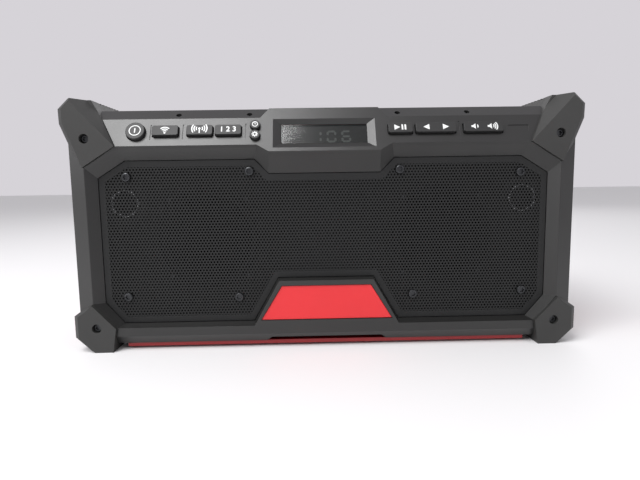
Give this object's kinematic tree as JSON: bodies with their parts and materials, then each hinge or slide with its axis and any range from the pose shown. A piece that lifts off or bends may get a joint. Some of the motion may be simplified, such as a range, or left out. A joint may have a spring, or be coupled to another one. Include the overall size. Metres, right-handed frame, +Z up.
{
  "type": "jobsite radio",
  "caption": "Rugged boxy radio with a perforated front grille, a sloped key panel, corner bumpers, a rear handle bar, a slide-in battery and a hinged port cover.",
  "frame": {"origin": "middle of the footprint on the floor, under the bounding box", "axes": "+X to the right seen from the front, the front faces -Y, +Z up"},
  "size_m": [0.4, 0.16, 0.1962],
  "materials": {
    "front_shell": "fine moulded texture",
    "key_panel": "fine moulded texture",
    "bumper": "matt",
    "rail": "ribbed",
    "housing": "moulded, satin",
    "dock": "moulded",
    "cover": "matt",
    "pack": "moulded",
    "button": "moulded",
    "grille": "black powder coat on perforated sheet",
    "badge": "satin red",
    "baffle": "moulded",
    "screw": "black oxide",
    "pin": "ground",
    "lens": "clear smoked",
    "module": "display",
    "mat": "moulded",
    "key": "moulded with pale symbols",
    "board": "glass fibre laminate",
    "basket": "stamped steel",
    "magnet": "sintered ferrite",
    "cone": "pressed pulp",
    "surround": "moulded",
    "tweeter": "moulded",
    "dome": "woven",
    "blade": "plated"
  },
  "bodies": {
    "radio": {"front_frame": "front_shell", "control_panel": "key_panel", "key_mat": "mat", "key_board": "board", "display_lens": "lens", "display_module": "module", "panel_screws": "screw", "grille": "grille", "speaker_baffle": "baffle", "grille_screws": "screw", "badge_plate": "badge", "woofer_basket_left": "basket", "woofer_basket_right": "basket", "woofer_magnet_left": "magnet", "woofer_magnet_right": "magnet", "woofer_cone_left": "cone", "woofer_cone_right": "cone", "woofer_surround_left": "surround", "woofer_surround_right": "surround", "driver_screws": "screw", "tweeter_frames": "tweeter", "tweeter_domes": "dome", "front_upper_bumper_left": "bumper", "front_upper_bumper_right": "bumper", "front_foot_left": "bumper", "front_foot_right": "bumper", "rear_upper_bumper_left": "bumper", "rear_upper_bumper_right": "bumper", "rear_foot_left": "bumper", "rear_foot_right": "bumper", "front_bumper_screws": "screw", "rear_bumper_screws": "screw", "side_rail_left": "rail", "side_rail_right": "rail", "rear_housing": "housing", "handle_bar": "rail", "handle_screws": "screw", "case_screws": "screw", "battery_dock": "dock", "battery_blades": "blade", "main_board": "board", "port_block": "dock", "cover_pin": "pin"},
    "power_key": {"power_key": "key"},
    "wireless_key": {"wireless_key": "key"},
    "band_key": {"band_key": "key"},
    "preset_key": {"preset_key": "key"},
    "clock_key": {"clock_key": "key"},
    "settings_key": {"settings_key": "key"},
    "play_key": {"play_key": "key"},
    "track_rocker": {"track_rocker": "key"},
    "volume_rocker": {"volume_rocker": "key"},
    "port_cover": {"port_cover": "cover"},
    "battery_pack": {"battery_pack": "pack"},
    "release_button": {"release_button": "button"}
  },
  "joints": [
    {"name": "power_key_press", "type": "slide", "parent": "radio", "child": "power_key", "axis": [0, 0.8918, -0.4524], "range_m": [0, 0.001], "stiffness_N_per_m": 1500},
    {"name": "wireless_key_press", "type": "slide", "parent": "radio", "child": "wireless_key", "axis": [0, 0.8918, -0.4524], "range_m": [0, 0.001], "stiffness_N_per_m": 1500},
    {"name": "band_key_press", "type": "slide", "parent": "radio", "child": "band_key", "axis": [0, 0.8918, -0.4524], "range_m": [0, 0.001], "stiffness_N_per_m": 1500},
    {"name": "preset_key_press", "type": "slide", "parent": "radio", "child": "preset_key", "axis": [0, 0.8918, -0.4524], "range_m": [0, 0.001], "stiffness_N_per_m": 1500},
    {"name": "clock_key_press", "type": "slide", "parent": "radio", "child": "clock_key", "axis": [0, 0.8918, -0.4524], "range_m": [0, 0.001], "stiffness_N_per_m": 1500},
    {"name": "settings_key_press", "type": "slide", "parent": "radio", "child": "settings_key", "axis": [0, 0.8918, -0.4524], "range_m": [0, 0.001], "stiffness_N_per_m": 1500},
    {"name": "play_key_press", "type": "slide", "parent": "radio", "child": "play_key", "axis": [0, 0.8918, -0.4524], "range_m": [0, 0.001], "stiffness_N_per_m": 1500},
    {"name": "track_rocker_tip", "type": "hinge", "parent": "radio", "child": "track_rocker", "pos_m": [0.086, -0.06863, 0.16919], "axis": [0, 0.4524, 0.8918], "range_deg": [-2, 2], "stiffness_Nm_per_rad": 0.34},
    {"name": "volume_rocker_tip", "type": "hinge", "parent": "radio", "child": "volume_rocker", "pos_m": [0.12295, -0.06863, 0.16919], "axis": [0, 0.4524, 0.8918], "range_deg": [-2, 2], "stiffness_Nm_per_rad": 0.34},
    {"name": "port_cover_hinge", "type": "hinge", "parent": "radio", "child": "port_cover", "pos_m": [0.105, 0.0733, 0.0696], "axis": [-1, 0, 0], "range_deg": [0, 110]},
    {"name": "battery_pack_slide", "type": "slide", "parent": "radio", "child": "battery_pack", "axis": [0, 1, 0], "range_m": [0, 0.06]},
    {"name": "release_button_press", "type": "slide", "parent": "battery_pack", "child": "release_button", "axis": [0, -1, 0], "range_m": [0, 0.002], "stiffness_N_per_m": 800}
  ]
}
